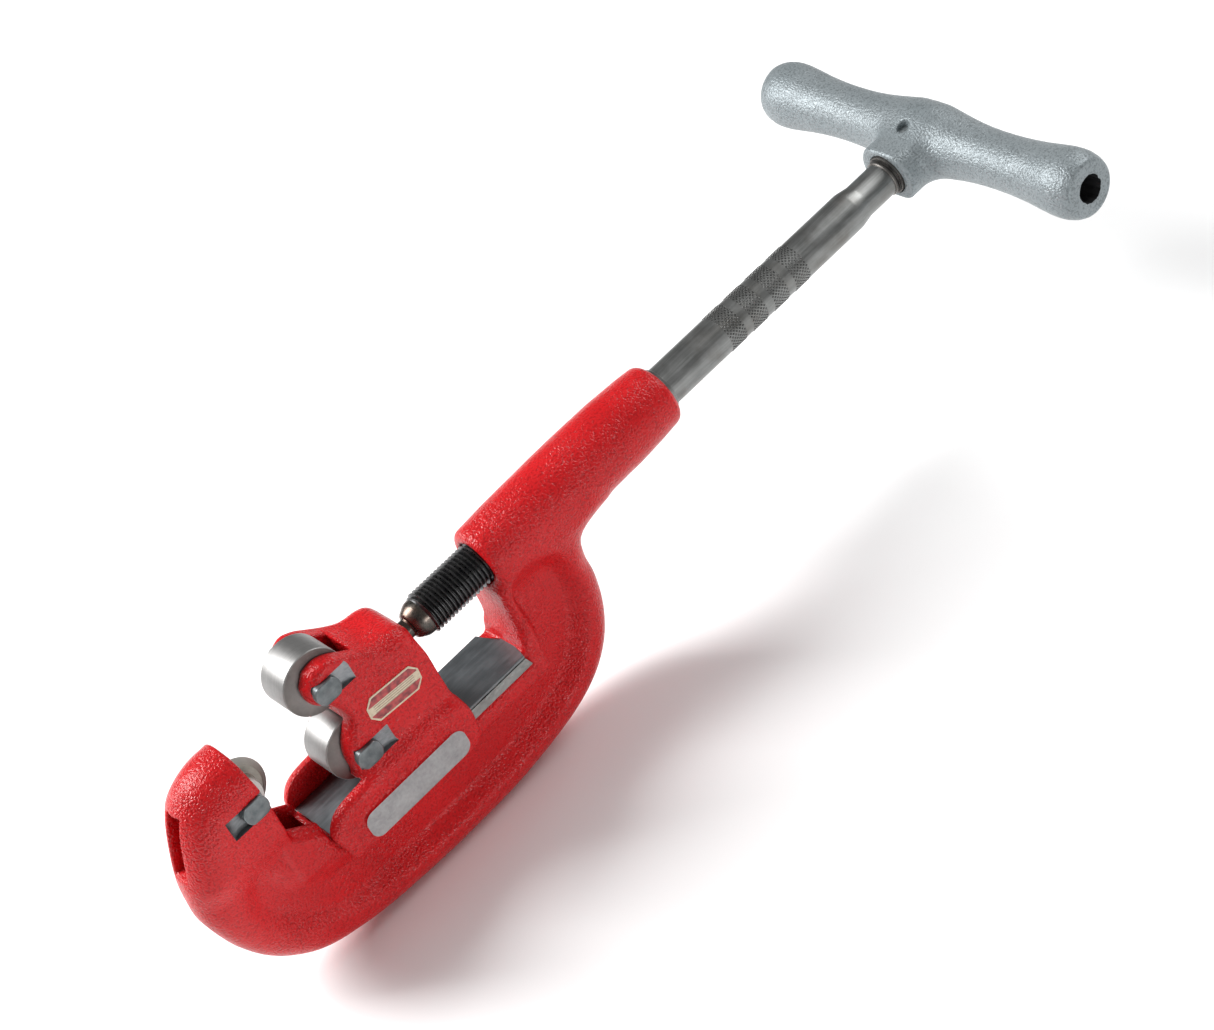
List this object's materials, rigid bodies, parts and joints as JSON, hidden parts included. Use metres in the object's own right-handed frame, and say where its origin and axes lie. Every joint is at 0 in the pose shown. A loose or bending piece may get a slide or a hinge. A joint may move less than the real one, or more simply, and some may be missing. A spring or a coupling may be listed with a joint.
{
  "type": "pipe cutter",
  "caption": "Single-wheel screw-feed pipe cutter with a cast hook frame, a two-roller slide on a flat way, and a T handle.",
  "frame": {"origin": "centre of the bottom of the tool's bounding box, on the lowest line of the spine's back", "axes": "+X along the feed screw from the cutting wheel to the handle, +Z from the spine up to the screw, Y along the wheel, roller and handle-bar axes with the labelled side at -Y"},
  "size_m": [0.4894, 0.197, 0.1376],
  "materials": {
    "red_enamel": "glossy enamel over a granular sand casting",
    "ground_steel": "ground or milled bare surface",
    "turned_steel": "fine turned",
    "phosphate_steel": "dark phosphate, satin",
    "wheel_steel": "hardened and ground",
    "black_oxide_steel": "oiled black oxide",
    "spring_steel": "blackened spring steel",
    "silver_paint": "aluminium paint over a pebbled casting",
    "label_foil": "printed foil",
    "rod_steel": "drawn, satin"
  },
  "bodies": {
    "frame": {"frame": "red_enamel", "guide_bush": "ground_steel", "wheel_pin": "phosphate_steel", "wheel_pin_ring": "spring_steel"},
    "cutter": {"cutter_wheel": "wheel_steel"},
    "slide": {"slide": "red_enamel", "side_label": "label_foil", "thrust_disc": "turned_steel", "upper_roller_pin": "phosphate_steel", "lower_roller_pin": "phosphate_steel", "upper_pin_ring": "spring_steel", "lower_pin_ring": "spring_steel"},
    "upper_roller": {"upper_roller": "turned_steel"},
    "lower_roller": {"lower_roller": "turned_steel"},
    "screw": {"feed_screw": "black_oxide_steel", "pull_washer": "ground_steel", "screw_ring": "spring_steel", "t_handle": "silver_paint", "handle_pin": "phosphate_steel"}
  },
  "joints": [
    {"name": "slide_travel", "type": "slide", "parent": "frame", "child": "slide", "axis": [1, 0, 0], "range_m": [-0.0272, 0.0352]},
    {"name": "handle_turn", "type": "hinge", "parent": "slide", "child": "screw", "pos_m": [0, 0, 0.1024], "axis": [1, 0, 0], "range_deg": [-4624, 5985]},
    {"name": "wheel_spin", "type": "hinge", "parent": "frame", "child": "cutter", "pos_m": [-0.2027, 0, 0.1024], "axis": [0, 1, 0], "continuous": true},
    {"name": "upper_roller_spin", "type": "hinge", "parent": "slide", "child": "upper_roller", "pos_m": [-0.1512, 0, 0.1225], "axis": [0, 1, 0], "continuous": true},
    {"name": "lower_roller_spin", "type": "hinge", "parent": "slide", "child": "lower_roller", "pos_m": [-0.1512, 0, 0.0823], "axis": [0, 1, 0], "continuous": true}
  ],
  "couplings": [
    {"joint": "slide_travel", "follows": "handle_turn", "m_per_rad": 0.00033688}
  ]
}
